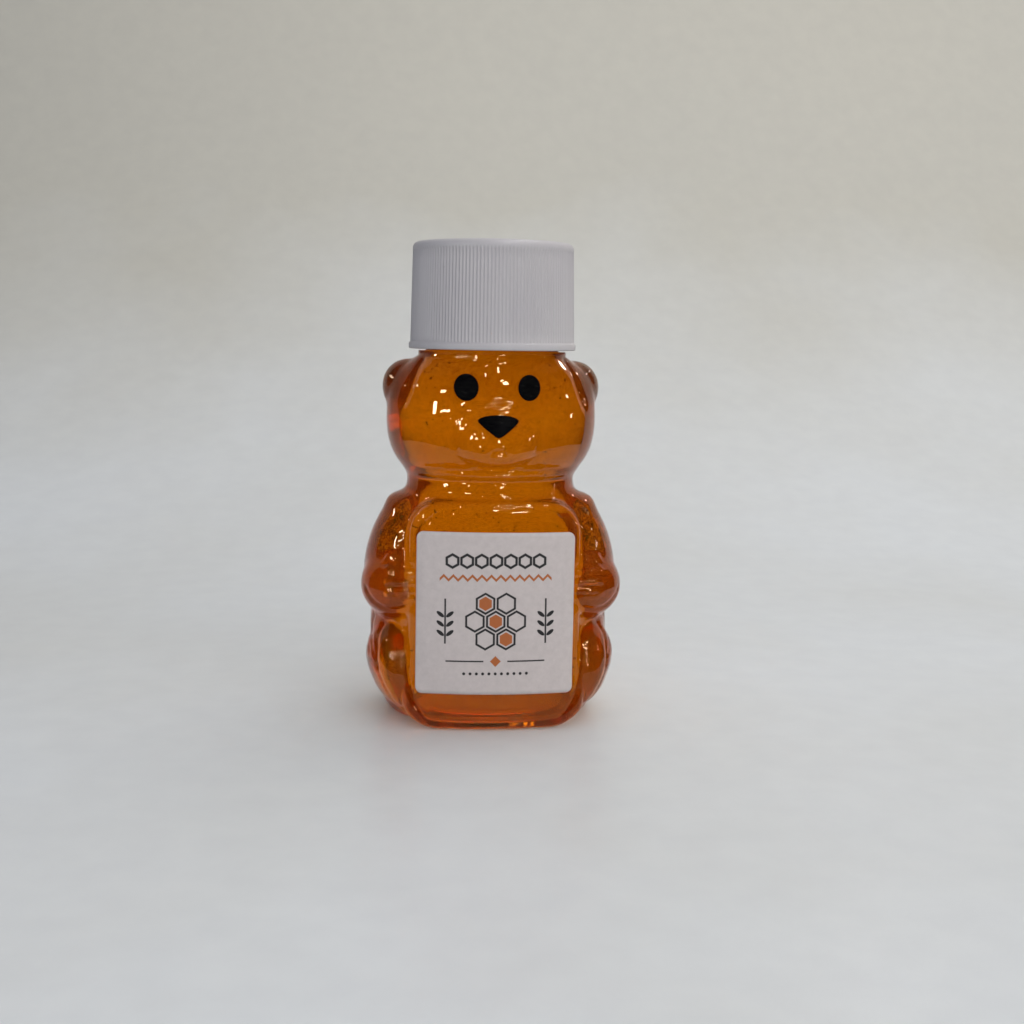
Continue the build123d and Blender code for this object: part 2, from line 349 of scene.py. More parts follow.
def carve(name, line):  # a groove with a detail's width and depth, where the line meets the skin
    line = [spot for spot in line if spot]
    groove(outerSkin, line, details[name + "Width"], details[name + "Depth"])


wholeSkin = skinTree(outerSkin)
carve("mouth", [frontPoint(wholeSkin, x, z) for x, z in details["mouth"]])
for side in (-1, 1):
    for level in details["fingers"]:
        near, far = details["fingerReach"]
        shares = [step / 6 for step in range(7)]
        carve("finger", [frontPoint(wholeSkin, side * between(near, far, share),
                                    level + details["fingerRise"] * (share - 0.5)) for share in shares])
    for reach in details["toes"]:
        low, high = details["toeReach"]
        bulges = [details["toeBulge"] * math.sin(math.pi * step / 8) for step in range(9)]
        carve("toe", [frontPoint(wholeSkin, side * (reach + bulge), between(low, high, step / 8))
                      for step, bulge in enumerate(bulges)])
    for name in ("ear", "shin", "sole", "hem", "palm", "muzzle", "chin"):  # folds round the moulded forms
        carve(name, [frontPoint(wholeSkin, -side * x, z) for x, z in details[name]])

cutAbove(outerSkin, skin["headCut"])
outline = openEdges(outerSkin)  # carried up over collar, threaded neck and lip
collar, neck, edge = skin["collarRadius"], skin["neckRadius"], skin["collarEdge"]
top, mouth = skin["collarTop"], skin["mouth"]
for radius, height in ((collar, skin["collarFoot"]), (collar, top - edge), (collar - edge, top),
                       (neck + 0.25, top), (neck, top + 0.25)):
    outline = growRing(outerSkin, outline, radius, height)
level = top + 0.6
while level < mouth - 0.5:
    outline = growRing(outerSkin, outline,
                       lambda angle: neck + thread["height"] * threadReach(angle, level), level)
    level += skin["ringStep"]
for radius, height in ((neck, mouth - 0.3), (neck - 0.09, mouth - 0.09), (neck - 0.3, mouth)):
    outline = growRing(outerSkin, outline, radius, height)

cutAbove(innerSkin, skin["insideCut"])
bore = skin["boreRadius"]
insideOutline = openEdges(innerSkin)
for radius, height in (*skin["insideRings"], (bore, skin["fillLevel"])):
    insideOutline = growRing(innerSkin, insideOutline, radius, height)

# honey

honeyShape = {
    "overlap": 0.05,        # into the wall, so that no air gap shows
    "wallTop": 60.9,        # up to here it touches the wall
    "surface": 60.95,       # faces above here are its free surface
}

air = {  # pockets left in the tops of the arms: place, half sizes and lean; bubbles: place, spread, count
    "pockets": [((-16.9, -5.8, 31.4), (1.9, 2.3, 4.4), 20), ((17.1, -5.8, 31.6), (1.9, 2.3, 4.6), -20)],
    "pocketFoot": 27.4,
    "bubbles": [((-11.5, -8.0, 58.0), 2.6, 14), ((-15.8, -7.5, 34.0), 2.4, 12),
                ((16.5, -7.5, 33.0), 2.8, 14), ((-12.0, -13.5, 10.5), 1.6, 4),
                ((13.5, -12.0, 11.0), 2.2, 10), ((0.0, -13.5, 33.5), 5.0, 5),
                ((10.5, -8.5, 55.5), 3.0, 8)],
    "smallest": 0.07, "largest": 0.24, "clearance": 0.12, "tries": 12,
}

honeyMesh = innerSkin.copy()
honeyMesh.normal_update()
for vert in honeyMesh.verts:
    if vert.co.z < honeyShape["wallTop"] * mm:
        vert.co += vert.normal * honeyShape["overlap"] * mm
bmesh.ops.holes_fill(honeyMesh, edges=openEdges(honeyMesh), sides=0)
bmesh.ops.recalc_face_normals(honeyMesh, faces=honeyMesh.faces)
for face in honeyMesh.faces:
    face.material_index = 0 if face.calc_center_median().z > honeyShape["surface"] * mm else 1

specks = {
    "count": 1500, "smallest": 0.04, "largest": 0.12, "shallow": 0.15, "deep": 3.0, "crumb": 0.35,
    "top": 58.0, "depthBias": 1.5, "sizeBias": 2.5,     # the higher a bias, the more lie low in its range
}
blobWaves = 1.7
dice = random.Random(41)


def addBlob(bm, centre, sizes, lean, rounds, rough=0.0, inward=False, foot=0.0, index=0):  # lump or hollow
    turn = Matrix.Translation(Vector(centre) * mm) @ Matrix.Rotation(math.radians(lean), 4, "Y")
    grown = bmesh.ops.create_icosphere(bm, subdivisions=rounds, radius=1.0)["verts"]
    for vert in grown:
        bump = 1 + rough * noise.noise(vert.co * blobWaves + Vector(centre))
        vert.co = Vector((vert.co.x * sizes[0], vert.co.y * sizes[1], vert.co.z * sizes[2])) * bump * mm
        vert.co = turn @ vert.co
        vert.co.z = max(vert.co.z, foot * mm)
    faces = list({face for vert in grown for face in vert.link_faces})
    if inward:
        bmesh.ops.reverse_faces(bm, faces=faces)
    for face in faces:
        face.material_index = index


def addBubbles(bm):
    walls = BVHTree.FromBMesh(bm)
    for centre, sizes, lean in air["pockets"]:
        near, normal, _, _ = walls.find_nearest(Vector(centre) * mm)
        spot = near / mm - normal * (sizes[0] * 1.15 + air["clearance"])
        addBlob(bm, spot, sizes, lean, rounds=5, rough=0.25, inward=True, foot=air["pocketFoot"], index=2)
    for centre, reach, count in air["bubbles"]:
        placed = 0
        for _ in range(count * air["tries"]):
            if placed == count:
                break
            spot = Vector(centre) + Vector([dice.gauss(0, 0.5) * reach for _ in range(3)])
            size = between(air["smallest"], air["largest"], dice.random() ** 2)
            near, normal, _, gap = walls.find_nearest(spot * mm)
            if (spot * mm - near).dot(normal) > 0 or gap < (size + air["clearance"]) * mm:
                continue
            placed += 1
            addBlob(bm, spot, (size, size, size), 0, rounds=2, inward=True)


def makeSpecks(bm):  # tiny dark grains, most of them near the wall
    grains = bmesh.new()
    bm.verts.ensure_lookup_table()
    places = [(vert.co.copy(), vert.normal.copy()) for vert in bm.verts
              if vert.co.z < specks["top"] * mm]
    for _ in range(specks["count"]):
        place, normal = dice.choice(places)
        depth = between(specks["shallow"], specks["deep"], dice.random() ** specks["depthBias"])
        size = between(specks["smallest"], specks["largest"], dice.random() ** specks["sizeBias"])
        spot = place / mm - normal * depth
        stretch = 1 + dice.random()
        addBlob(grains, spot, (size, size, size * stretch), dice.uniform(0, 180), rounds=1,
                rough=specks["crumb"])
    return grains


specksMesh = makeSpecks(honeyMesh)
addBubbles(honeyMesh)
print("specks and bubbles placed")

for radius, height in ((bore, 68.0), (bore, mouth - 0.15), (bore + 0.12, mouth)):
    insideOutline = growRing(innerSkin, insideOutline, radius, height)
insideMesh = bpy.data.meshes.new("inside")
bmesh.ops.reverse_faces(innerSkin, faces=innerSkin.faces)
for face in innerSkin.faces:
    face.material_index = 1 if face.calc_center_median().z < honeyShape["wallTop"] * mm else 0
innerSkin.to_mesh(insideMesh)
bottleMesh = outerSkin.copy()
bottleMesh.from_mesh(insideMesh)
bmesh.ops.bridge_loops(bottleMesh, edges=openEdges(bottleMesh))
bmesh.ops.recalc_face_normals(bottleMesh, faces=bottleMesh.faces)
print("bottle closed:", not openEdges(bottleMesh))

# cap

capShape = {
    "foot": 60.35, "lipTop": 61.45, "ribTop": 76.2, "top": 77.5, "ceiling": 76.1,
    "footRadius": 13.5, "topRadius": 13.15, "lipRadius": 13.75, "boreRadius": 12.2,
    "ribs": 144, "ribDepth": 0.2, "rimRadius": 0.9, "rows": 10, "rimSteps": 8,
    "columns": (0.0, -0.25, -0.9, -1.0, -0.55),     # one rib and groove, as shares of its depth
    "threadTurns": 2.0, "threadSteps": 120,
    "threadCorners": [(0.3, -0.75), (-0.05, -0.62), (-0.85, -0.28), (-0.85, 0.28), (-0.05, 0.62),
                      (0.3, 0.75)],
}


def capProfile():  # from the middle of the ceiling round the skirt to the middle of the top
    c = capShape
    inner, lip, side, rim = c["boreRadius"], c["lipRadius"], c["footRadius"], c["rimRadius"]
    ceiling, foot, lipTop = c["ceiling"], c["foot"], c["lipTop"]
    points = [(0, ceiling), (inner - 0.4, ceiling), (inner, ceiling - 0.4), (inner, foot + 0.3),
              (inner + 0.2, foot), (lip - 0.25, foot), (lip - 0.05, foot + 0.08), (lip, foot + 0.25),
              (lip, lipTop - 0.25), (lip - 0.06, lipTop - 0.07), (side + 0.06, lipTop),
              (side, lipTop + 0.06)]
    low, high = lipTop + 0.22, c["ribTop"] - 0.25
    for row in range(c["rows"] + 1):
        share = row / c["rows"]
        points.append((between(side, c["topRadius"], share), between(low, high, share)))
    points.append((c["topRadius"], c["ribTop"]))
    for step in range(c["rimSteps"] + 1):
        angle = math.pi / 2 * step / c["rimSteps"]
        points.append((c["topRadius"] - rim * (1 - math.cos(angle)),
                       c["top"] - rim * (1 - math.sin(angle))))
    return points + [(c["topRadius"] - 2.0, c["top"]), (0, c["top"])]


def makeCap():
    c = capShape
    bm = bmesh.new()
    chain = [bm.verts.new((x * mm, 0, z * mm)) for x, z in capProfile()]
    edges = [bm.edges.new(pair) for pair in zip(chain, chain[1:])]
    steps = c["ribs"] * len(c["columns"])
    bmesh.ops.spin(bm, geom=chain + edges, cent=(0, 0, 0), axis=(0, 0, 1), angle=math.tau,
                   steps=steps, use_merge=True)
    bmesh.ops.remove_doubles(bm, verts=bm.verts, dist=0.001 * mm)
    bmesh.ops.recalc_face_normals(bm, faces=bm.faces)
    ribLow, ribHigh = (c["lipTop"] + 0.15) * mm, (c["ribTop"] - 0.2) * mm
    for vert in bm.verts:
        reach = math.hypot(vert.co.x, vert.co.y)
        if ribLow < vert.co.z < ribHigh and reach > (c["boreRadius"] + 0.5) * mm:
            column = round(math.atan2(vert.co.y, vert.co.x) / math.tau * steps) % len(c["columns"])
            share = (reach + c["columns"][column] * c["ribDepth"] * mm) / reach
            vert.co.x *= share
            vert.co.y *= share
    capThread(bm)
    return bm


def capThread(bm):  # right-hand ridge inside the skirt, half a pitch above the neck's
    c = capShape
    pitch, turns, steps = thread["pitch"], c["threadTurns"], c["threadSteps"]
    foot = thread["foot"] + pitch * 0.5 - pitch
    section = [bm.verts.new(((c["boreRadius"] + x) * mm, 0, (foot + z) * mm))
               for x, z in c["threadCorners"]]
    bmesh.ops.spin(bm, geom=[bm.faces.new(section)], cent=(0, 0, 0), axis=(0, 0, 1),
                   angle=math.tau * turns, steps=steps, dvec=(0, 0, pitch * turns / steps * mm))
    faces = list({face for vert in linkedVerts(section) for face in vert.link_faces})
    bmesh.ops.recalc_face_normals(bm, faces=faces)


# label

labelShape = {
    "width": 25.2, "height": 25.9, "foot": 6.03, "corner": 1.1, "cornerSteps": 6,
    "thickness": 0.09, "grid": 42, "tilt": 0.35,
}


def flatLabel():  # upright sheet in the XZ plane with round corners
    c = labelShape
    bm = bmesh.new()
    bmesh.ops.create_grid(bm, x_segments=1, y_segments=1, size=0.5)
    bmesh.ops.scale(bm, verts=bm.verts, vec=(c["width"] * mm, c["height"] * mm, 1))
    bmesh.ops.bevel(bm, geom=bm.verts, offset=c["corner"] * mm, affect="VERTICES",
                    segments=c["cornerSteps"], profile=0.5, material=-1)
    turnAll(bm, 90, "X")
    return bm


def cutNet(bm, faces, size, count):  # cuts some faces of a flat sheet into a fine net
    middle = sum((vert.co for vert in bm.verts), Vector()) / len(bm.verts)
    for normal in (Vector((1, 0, 0)), Vector((0, 0, 1))):
        for step in range(1, count):
            edges = {edge for face in faces for edge in face.edges}
            verts = {vert for face in faces for vert in face.verts}
            place = middle + normal * (step / count - 0.5) * size * mm
            cut = bmesh.ops.bisect_plane(bm, geom=[*faces, *edges, *verts], dist=0.003 * mm,
                                         plane_no=normal, plane_co=place)
            faces = [item for item in cut["geom"] if isinstance(item, bmesh.types.BMFace)]


def layOnSkin(bm, lift):  # pushes an upright sheet back to the skin, in front of it by lift(vert) in mm
    bmesh.ops.recalc_face_normals(bm, faces=bm.faces)
    if sum(face.normal.y for face in bm.faces) > 0:
        bmesh.ops.reverse_faces(bm, faces=bm.faces)
    for vert in bm.verts:
        place = frontPoint(frontSkin, vert.co.x / mm, vert.co.z / mm)
        vert.co = place - Vector((0, lift(vert) * mm, 0))


def thicken(bm, thickness):
    bmesh.ops.solidify(bm, geom=bm.faces[:], thickness=thickness * mm)
    bmesh.ops.recalc_face_normals(bm, faces=bm.faces)


frontSkin = skinTree(outerSkin)


def makeLabel():
    c = labelShape
    bm = flatLabel()
    cutNet(bm, bm.faces[:], max(c["width"], c["height"]), c["grid"])
    turnAll(bm, c["tilt"], "Y")
    bmesh.ops.translate(bm, verts=bm.verts, vec=(0, 0, (c["foot"] + c["height"] / 2) * mm))
    layOnSkin(bm, lambda vert: c["thickness"])
    thicken(bm, c["thickness"])
    return bm


# eyes and nose

paint = {
    "eyes": {"left": (4.95, 54.62, 3.6, 4.05), "right": (-4.95, 54.6, 3.85, 4.2)},  # place, width, height
    "nose": [(-3.2, 49.62), (-2.75, 49.95), (-1.9, 50.25), (-0.9, 50.38), (0.0, 50.42), (0.9, 50.38),
             (1.9, 50.25), (2.75, 49.95), (3.2, 49.62), (3.15, 49.3), (2.3, 48.5), (1.15, 47.6),
             (0.45, 47.1), (0.0, 46.95), (-0.45, 47.1), (-1.15, 47.6), (-2.3, 48.5), (-3.15, 49.3)],
    "edge": 0.02, "lift": 0.11, "thickness": 0.12,      # edge and lift: how far rim and middle stand out
    "rings": [(0.08, 0.7), (0.14, 1.0), (0.25, 1.0), (0.3, 0.8), (0.3, 0.8)],    # inset, share of the lift
    "netSize": 6.5, "netCount": 14,
}


def makePatch(points):  # thick paint inside a closed outline of x and z in mm, risen from its rim
    bm = bmesh.new()
    middle = bm.faces.new([bm.verts.new((x * mm, 0, z * mm)) for x, z in points])
    lifted = {vert: 0.0 for vert in bm.verts}
    for inset, share in paint["rings"]:
        before = set(bm.verts)
        bmesh.ops.inset_region(bm, faces=[middle], thickness=inset * mm, use_even_offset=True)
        for vert in bm.verts:
            if vert not in before:
                lifted[vert] = share
    cutNet(bm, [middle], paint["netSize"], paint["netCount"])
    bmesh.ops.triangulate(bm, faces=[face for face in bm.faces if len(face.verts) > 4])
    layOnSkin(bm, lambda vert: paint["edge"] + (paint["lift"] - paint["edge"]) * lifted.get(vert, 1))
    thicken(bm, paint["thickness"])
    return bm


def ovalPoints(cx, cz, width, height, count=48):
    angles = [math.tau * step / count for step in range(count)]
    return [(cx + width / 2 * math.cos(angle), cz + height / 2 * math.sin(angle)) for angle in angles]


# finishes


def objectPlace(tree):
    return addNode(tree, "ShaderNodeTexCoord").outputs["Object"]


def noiseAt(tree, place, scale, detail=3.0, stretch=(1, 1, 1), roughness=0.5):
    moved = addNode(tree, "ShaderNodeMapping", {"Vector": place, "Scale": stretch}).outputs[0]
    inputs = {"Vector": moved, "Scale": scale, "Detail": detail, "Roughness": roughness}
    return addNode(tree, "ShaderNodeTexNoise", inputs).outputs["Fac"]


def mapRange(tree, value, start, end, low=0.0, high=1.0, kind="LINEAR"):
    inputs = {"Value": value, "From Min": start, "From Max": end, "To Min": low, "To Max": high}
    return addNode(tree, "ShaderNodeMapRange", inputs, interpolation_type=kind).outputs[0]


def spread(tree, factor, low, high):  # stretches a noise, which keeps near its middle, over a range
    return mapRange(tree, factor, 0.3, 0.7, low, high)


def fade(tree, value, start, end):  # soft step from 0 to 1 between two places
    return mapRange(tree, value, start, end, kind="SMOOTHSTEP")


def mixColour(tree, factor, first, second, blend="MIX"):
    inputs = {0: factor, 6: first, 7: second}
    return addNode(tree, "ShaderNodeMix", inputs, data_type="RGBA", blend_type=blend).outputs[2]


def setInput(tree, shader, socket, value):
    tree.links.new(value, shader.inputs[socket])


def bumpFrom(tree, shader, height, strength, distance):
    inputs = {"Height": height, "Strength": strength, "Distance": distance * mm}
    setInput(tree, shader, "Normal", addNode(tree, "ShaderNodeBump", inputs).outputs[0])


# painted reflection colour: the warm specular tint warms what the clear outer wall mirrors
plastic, plasticTree, plasticShader = material(
    "clearPlastic", Roughness=0.03, IOR=1.55, Transmission_Weight=1.0, Specular_Tint=(1, 0.82, 0.45, 1))
plasticWet, wetTree, wetShader = material(
    "clearPlasticWet", Roughness=0.0, IOR=1.55, Transmission_Weight=1.0, Specular_Tint=(0, 0, 0, 1))


def passLamps(tree, shader, near, far, start, end):  # lets lamp light through, tinted by how far it runs
    path = addNode(tree, "ShaderNodeLightPath")
    distance = fade(tree, path.outputs["Ray Length"], start * mm, end * mm)
    tint = mixColour(tree, distance, (*near, 1), (*far, 1))
    through = addNode(tree, "ShaderNodeBsdfTransparent", {"Color": tint})
    both = addNode(tree, "ShaderNodeMixShader", {0: path.outputs["Is Shadow Ray"], 1: shader.outputs[0],
                                                 2: through.outputs[0]})
    setInput(tree, tree.nodes["Material Output"], "Surface", both.outputs[0])


def clearLook(tree, shader, wavy):  # faint waves of a blown wall, and a breath of haze
    place = objectPlace(tree)
    haze = noiseAt(tree, place, 180, 4)
    setInput(tree, shader, "Base Color", ramp(tree, haze, [(0.3, (0.985, 0.98, 0.97)), (0.7, (1, 1, 1))]))
    if wavy:
        bumpFrom(tree, shader, noiseAt(tree, place, 330, 2), 0.14, 0.03)
        setInput(tree, shader, "Roughness", spread(tree, noiseAt(tree, place, 1400), 0.004, 0.02))
    passLamps(tree, shader, (0.3, 0.3, 0.3), (0.85, 0.85, 0.85), 2.0, 3.0)


clearLook(plasticTree, plasticShader, True)
clearLook(wetTree, wetShader, False)

honeyTop, honeyTopTree, honeyTopShader = material(
    "honeyTop", Roughness=0.0, IOR=1.49, Transmission_Weight=0.88)
honeyWet, honeyWetTree, honeyWetShader = material(
    "honeyBody", Roughness=0.0, IOR=1.49, Transmission_Weight=0.84, Specular_Tint=(0, 0, 0, 1))


def honeyDepth(tree, shader):  # what the honey takes from light inside it and from lamps shining through
    absorb = addNode(tree, "ShaderNodeVolumeAbsorption", {"Color": (0.92, 0.85, 0.05, 1), "Density": 96.0})
    setInput(tree, tree.nodes["Material Output"], "Volume", absorb.outputs[0])
    passLamps(tree, shader, (0.75, 0.48, 0.4), (0.72, 0.72, 0.77), 3.0, 20.0)


def honeyTone(tree, shader):  # fine pollen grain over broad, slow clouds, and painted shade
    place = objectPlace(tree)
    cloud = noiseAt(tree, place, 110)
    broad = ramp(tree, cloud, [(0.25, (0.93, 0.27, 0.004)), (0.75, (0.97, 0.318, 0.006))])
    grain = noiseAt(tree, place, 2400, roughness=0.6)
    tone = ramp(tree, grain, [(0.36, (0.8, 0.73, 0.66)), (0.5, (0.94, 0.92, 0.89)), (0.62, (1, 1, 1))])
    toned = mixColour(tree, 1.0, broad, tone, "MULTIPLY")
    x, _, z = addNode(tree, "ShaderNodeSeparateXYZ", {0: place}).outputs
    # painted shade: the honey in the ears turns deep brown, standing in for the dark room their small
    # curves bend into view
    across = fade(tree, mathNode(tree, "ABSOLUTE", x), 13.6 * mm, 15.2 * mm)
    ear = mathNode(tree, "MULTIPLY", across, fade(tree, z, 51.0 * mm, 53.0 * mm))
    capShadeMask = fade(tree, z, 47 * mm, 58 * mm)  # painted shade: the cap keeps the light off the top of the honey
    shade = mixColour(tree, capShadeMask, (1, 1, 1, 1), (0.8, 0.74, 0.6, 1))
    shaded = mixColour(tree, 1.0, toned, shade, "MULTIPLY")
    # the ears' painted shade, a deep brown
    setInput(tree, shader, "Base Color", mixColour(tree, ear, shaded, (0.4, 0.13, 0.02, 1)))
    honeyDepth(tree, shader)


honeyTone(honeyTopTree, honeyTopShader)
honeyTone(honeyWetTree, honeyWetShader)
honeyFroth, frothTree, frothShader = material(
    "honeyFroth", Roughness=0.25, IOR=1.49, Transmission_Weight=0.2)


def frothLook(tree, shader):  # skin of the air pockets in the arms, crowded with tiny bubbles, in painted shade and sheen
    place = objectPlace(tree)
    beads = addNode(tree, "ShaderNodeTexVoronoi", {"Vector": place, "Scale": 3400.0}).outputs["Distance"]
    patch = noiseAt(tree, place, 700, 4)
    # painted shade and sheen: dark brown and gold round the beads stand in for the light the air pockets
    # bend and mirror
    dark = ramp(tree, beads, [(0.15, (0.7, 0.3, 0.05)), (0.4, (0.25, 0.08, 0.012)),
                              (0.7, (0.05, 0.015, 0.004))])
    gold = ramp(tree, beads, [(0.15, (0.95, 0.6, 0.16)), (0.5, (0.7, 0.33, 0.04)),
                              (0.8, (0.3, 0.1, 0.01))])
    setInput(tree, shader, "Base Color", mixColour(tree, spread(tree, patch, -0.6, 1.4), dark, gold))
    bumpFrom(tree, shader, beads, 0.8, 0.12)
    honeyDepth(tree, shader)


frothLook(frothTree, frothShader)

capPlastic, capTree, capShader = material("whitePlastic", Roughness=0.5, IOR=1.48)
fleck = {"place": (-8.6, -10.2, 73.1), "radius": 0.22}


def capLook(tree, shader):  # milky plastic with faint upright streaks and one dark fleck
    place = objectPlace(tree)
    streaks = noiseAt(tree, place, 700, 4, (1, 1, 0.05))
    body = ramp(tree, streaks, [(0.3, (0.468, 0.442, 0.458)), (0.7, (0.515, 0.49, 0.505))])
    milky = ramp(tree, noiseAt(tree, place, 90), [(0.3, (0.47, 0.45, 0.47)), (0.7, (0.52, 0.5, 0.505))])
    body = mixColour(tree, 0.6, body, milky)
    middle = tuple(value * mm for value in fleck["place"])
    gap = addNode(tree, "ShaderNodeVectorMath", {0: place, 1: middle}, operation="DISTANCE")
    dot = mapRange(tree, gap.outputs["Value"], fleck["radius"] * mm, fleck["radius"] * 0.5 * mm, 0, 0.75)
    setInput(tree, shader, "Base Color", mixColour(tree, dot, body, (0.16, 0.14, 0.14, 1)))
    setInput(tree, shader, "Roughness", spread(tree, noiseAt(tree, place, 1200), 0.45, 0.6))
    bumpFrom(tree, shader, noiseAt(tree, place, 2200), 0.25, 0.02)


capLook(capTree, capShader)
labelPaper, paperTree, paperShader = material("labelPaper", Roughness=0.75)
blackPaint, blackTree, blackShader = material("blackPaint", Roughness=0.5, Specular_IOR_Level=0.01)


def paintLook(tree, shader):  # thick paint laid on by a pad, a little streaky
    place = objectPlace(tree)
    strokes = noiseAt(tree, place, 1500, 4, (0.35, 1, 1.6))
    tone = ramp(tree, strokes, [(0.35, (0.002, 0.002, 0.0025)), (0.62, (0.004, 0.004, 0.004)),
                                (0.75, (0.016, 0.015, 0.015))])
    setInput(tree, shader, "Base Color", tone)
    setInput(tree, shader, "Roughness", spread(tree, strokes, 0.25, 0.5))
    bumpFrom(tree, shader, strokes, 0.5, 0.03)


paintLook(blackTree, blackShader)
linerFoam, foamTree, foamShader = material("linerFoam", Roughness=0.8)


def foamLook(tree, shader):  # pressed foam with tiny pits
    place = objectPlace(tree)
    pits = noiseAt(tree, place, 2400, 5, roughness=0.7)
    tone = ramp(tree, pits, [(0.35, (0.42, 0.41, 0.39)), (0.55, (0.62, 0.61, 0.58))])
    setInput(tree, shader, "Base Color", tone)
    bumpFrom(tree, shader, pits, 0.5, 0.05)


foamLook(foamTree, foamShader)

# label print, laid out in mm from the middle of the label

ink = {
    "middle": 19.0, "soft": 0.05, "waver": 0.05,    # height above the base; its edges' blur and wobble
    "black": (0.012, 0.011, 0.012), "orange": (0.42, 0.115, 0.025),
    "cellsUp": 8.4, "cellsHalf": 8.05, "cellPitch": 2.3, "cell": 0.9, "cellLine": 0.2,
    "combUp": -1.2, "combPitch": 3.3, "combRise": 2.86, "combCell": 1.38, "combLine": 0.17,
    "drops": [(0, -1.2), (-1.65, 1.66), (1.65, -4.06)], "drop": 1.0,
    "stalkOut": 8.0, "stalkHalf": (0.14, 3.6), "leavesUp": (-3.1, -1.6, -0.1), "leafOut": 0.75,
    "leafLean": 38, "leafHalf": (0.8, 0.33), "leafEdge": 0.9,
    "zigzagUp": 5.35, "zigzagHalf": 8.9, "zigzagRise": 0.75, "zigzagLine": 0.24,
    "rulesUp": -7.6, "ruleOut": 4.9, "ruleHalf": (3.0, 0.12), "diamond": 0.62,
    "dotsUp": -9.6, "dotsHalf": 5.3, "dotPitch": 1.0, "dot": 0.24,
}


def nearZero(tree, distance, half):  # 1 where a distance is under half, with a soft edge
    return mapRange(tree, distance, half + ink["soft"], half - ink["soft"])


def away(tree, value, centre=0.0):
    return mathNode(tree, "ABSOLUTE", mathNode(tree, "SUBTRACT", value, centre))


def lesser(tree, *values):
    return reduce(lambda first, second: mathNode(tree, "MINIMUM", first, second), values)


def greater(tree, *values):
    return reduce(lambda first, second: mathNode(tree, "MAXIMUM", first, second), values)


def bar(tree, u, v, cu, cv, halfU, halfV):
    return lesser(tree, nearZero(tree, away(tree, u, cu), halfU),
                  nearZero(tree, away(tree, v, cv), halfV))


def cellRow(tree, u, pitch):  # folds a row of equal places into one, of which one lies in the middle
    shifted = mathNode(tree, "ADD", u, 50.5 * pitch)
    return mathNode(tree, "SUBTRACT", mathNode(tree, "MODULO", shifted, pitch), pitch / 2)


def fromMiddle(tree, u, v):
    squares = [mathNode(tree, "MULTIPLY", value, value) for value in (u, v)]
    return mathNode(tree, "SQRT", mathNode(tree, "ADD", *squares))


def hexagon(tree, u, v, cu=0.0, cv=0.0):  # distance from the middle of a hexagon with a point on top
    across = away(tree, u, cu)
    upward = mathNode(tree, "MULTIPLY", away(tree, v, cv), 0.866)
    return greater(tree, across, mathNode(tree, "MULTIPLY_ADD", across, 0.5, upward))


def turned(tree, u, v, cu, cv, degrees):
    c, s = math.cos(math.radians(degrees)), math.sin(math.radians(degrees))
    du, dv = mathNode(tree, "SUBTRACT", u, cu), mathNode(tree, "SUBTRACT", v, cv)
    along = mathNode(tree, "MULTIPLY_ADD", du, c, mathNode(tree, "MULTIPLY", dv, s))
    over = mathNode(tree, "MULTIPLY_ADD", dv, c, mathNode(tree, "MULTIPLY", du, -s))
    return along, over


def cellChain(tree, u, v):  # row of comb cells along the top
    comb = hexagon(tree, cellRow(tree, u, ink["cellPitch"]), v, 0.0, ink["cellsUp"])
    line = nearZero(tree, away(tree, comb, ink["cell"]), ink["cellLine"])
    return lesser(tree, line, nearZero(tree, away(tree, u), ink["cellsHalf"]))


def bigComb(tree, u, v):
    rings = []
    for row, count in ((0, 3), (1, 2), (-1, 2)):
        for index in range(count):
            cu = (index - (count - 1) / 2) * ink["combPitch"]
            cell = hexagon(tree, u, v, cu, ink["combUp"] + row * ink["combRise"])
            rings.append(nearZero(tree, away(tree, cell, ink["combCell"]), ink["combLine"]))
    return rings


def sprigs(tree, u, v):  # a stalk with leaves on each side of the comb
    marks = []
    for side in (-1, 1):
        out = side * ink["stalkOut"]
        marks.append(bar(tree, u, v, out, ink["combUp"], *ink["stalkHalf"]))
        for up in ink["leavesUp"]:
            for way in (-1, 1):
                turns = turned(tree, u, v, out + way * ink["leafOut"], up, way * ink["leafLean"])
                shares = [mathNode(tree, "DIVIDE", *pair) for pair in zip(turns, ink["leafHalf"])]
                marks.append(nearZero(tree, fromMiddle(tree, *shares), ink["leafEdge"]))
    return marks


def zigzagLine(tree, u, v):
    fold = mathNode(tree, "PINGPONG", mathNode(tree, "ADD", u, 60.0), ink["zigzagRise"])
    off = away(tree, mathNode(tree, "SUBTRACT", mathNode(tree, "SUBTRACT", v, ink["zigzagUp"]), fold))
    return lesser(tree, nearZero(tree, off, ink["zigzagLine"]),
                  nearZero(tree, away(tree, u), ink["zigzagHalf"]))


def dotRow(tree, u, v):
    gap = fromMiddle(tree, cellRow(tree, u, ink["dotPitch"]), mathNode(tree, "SUBTRACT", v, ink["dotsUp"]))
    return lesser(tree, nearZero(tree, gap, ink["dot"]), nearZero(tree, away(tree, u), ink["dotsHalf"]))


